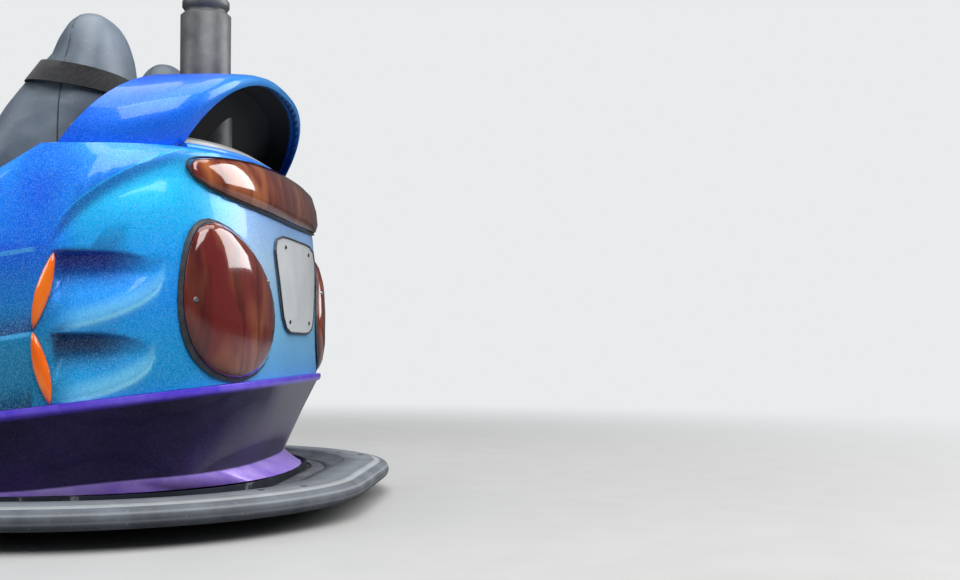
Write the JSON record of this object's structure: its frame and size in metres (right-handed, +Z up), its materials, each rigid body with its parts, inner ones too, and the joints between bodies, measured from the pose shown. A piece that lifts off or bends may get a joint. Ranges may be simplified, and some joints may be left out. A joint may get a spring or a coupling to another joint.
{
  "type": "bumper car",
  "caption": "Two-seat fairground bumper car with a rubber ring, a rear hood, a collector mast, a steered drive wheel and two plain rear wheels.",
  "frame": {"origin": "on the floor under the middle of the rubber ring", "axes": "+Y forward, +X to the driver's right, +Z up"},
  "size_m": [1.24, 1.95, 2.62],
  "materials": {
    "track_steel": "worn paint on steel",
    "band_steel": "dark worn paint",
    "ring_rubber": "dusty moulded rubber",
    "violet_gelcoat": "metallic flake gelcoat",
    "blue_gelcoat": "metallic flake gelcoat",
    "grey_gelcoat": "plain gelcoat",
    "tread_plate": "scuffed",
    "black_vinyl": "grained vinyl",
    "grey_vinyl": "worn vinyl",
    "webbing": "woven webbing",
    "dark_paint": "satin",
    "black_plastic": "moulded",
    "bare_steel": "machined",
    "solid_tyre": "solid rubber",
    "coral_paint": "gloss",
    "brass_shoe": "worn",
    "red_lens": "moulded lens",
    "amber_lens": "moulded lens",
    "orange_lens": "moulded lens",
    "clear_lens": "moulded lens",
    "plate_plastic": "blank plate",
    "black_rubber": "moulded"
  },
  "bodies": {
    "car": {"chassis_pan": "track_steel", "ring_band": "band_steel", "bumper_ring": "ring_rubber", "skirt": "violet_gelcoat", "rear_shell": "blue_gelcoat", "side_shell_left": "blue_gelcoat", "side_shell_right": "blue_gelcoat", "nose_shell": "blue_gelcoat", "hood": "blue_gelcoat", "hood_bulkhead": "dark_paint", "rear_deck": "grey_gelcoat", "cockpit_liner": "grey_gelcoat", "cockpit_floor": "tread_plate", "dash_cowl": "black_vinyl", "seat_box": "grey_gelcoat", "bench_cushion": "grey_vinyl", "seat_back_left": "grey_vinyl", "seat_back_right": "grey_vinyl", "strap_left": "webbing", "strap_right": "webbing", "steering_column": "dark_paint", "foot_pedal": "tread_plate", "drive_race": "bare_steel", "rear_axle": "bare_steel", "mast_socket": "dark_paint", "mast_pole": "coral_paint", "mast_sleeve": "ring_rubber", "collector_head": "brass_shoe", "tail_lamp_left": "red_lens", "tail_lamp_right": "red_lens", "tail_gaskets": "black_rubber", "brake_lamp": "amber_lens", "brake_gasket": "black_rubber", "side_lamps": "orange_lens", "number_plate": "plate_plastic", "headlamps": "clear_lens"},
    "drive_unit": {"drive_unit": "dark_paint", "drive_motor": "dark_paint"},
    "drive_wheel": {"drive_hub": "bare_steel", "drive_tyre": "solid_tyre"},
    "steering_wheel": {"steering_wheel": "black_plastic"},
    "rear_wheel_left": {"rear_hub_left": "bare_steel", "rear_tyre_left": "solid_tyre"},
    "rear_wheel_right": {"rear_hub_right": "bare_steel", "rear_tyre_right": "solid_tyre"}
  },
  "joints": [
    {"name": "drive_turn", "type": "hinge", "parent": "car", "child": "drive_unit", "pos_m": [0, 0.575, 0.06], "axis": [0, 0, 1], "continuous": true},
    {"name": "drive_roll", "type": "hinge", "parent": "drive_unit", "child": "drive_wheel", "pos_m": [0, 0.575, 0.12], "axis": [1, 0, 0], "continuous": true},
    {"name": "steering_turn", "type": "hinge", "parent": "car", "child": "steering_wheel", "pos_m": [0, 0.15, 0.56], "axis": [0, -0.6157, 0.788], "continuous": true},
    {"name": "rear_roll_left", "type": "hinge", "parent": "car", "child": "rear_wheel_left", "pos_m": [-0.33, -0.46, 0.075], "axis": [1, 0, 0], "continuous": true},
    {"name": "rear_roll_right", "type": "hinge", "parent": "car", "child": "rear_wheel_right", "pos_m": [0.33, -0.46, 0.075], "axis": [1, 0, 0], "continuous": true}
  ],
  "couplings": [
    {"joint": "steering_turn", "follows": "drive_turn", "ratio": 1}
  ]
}
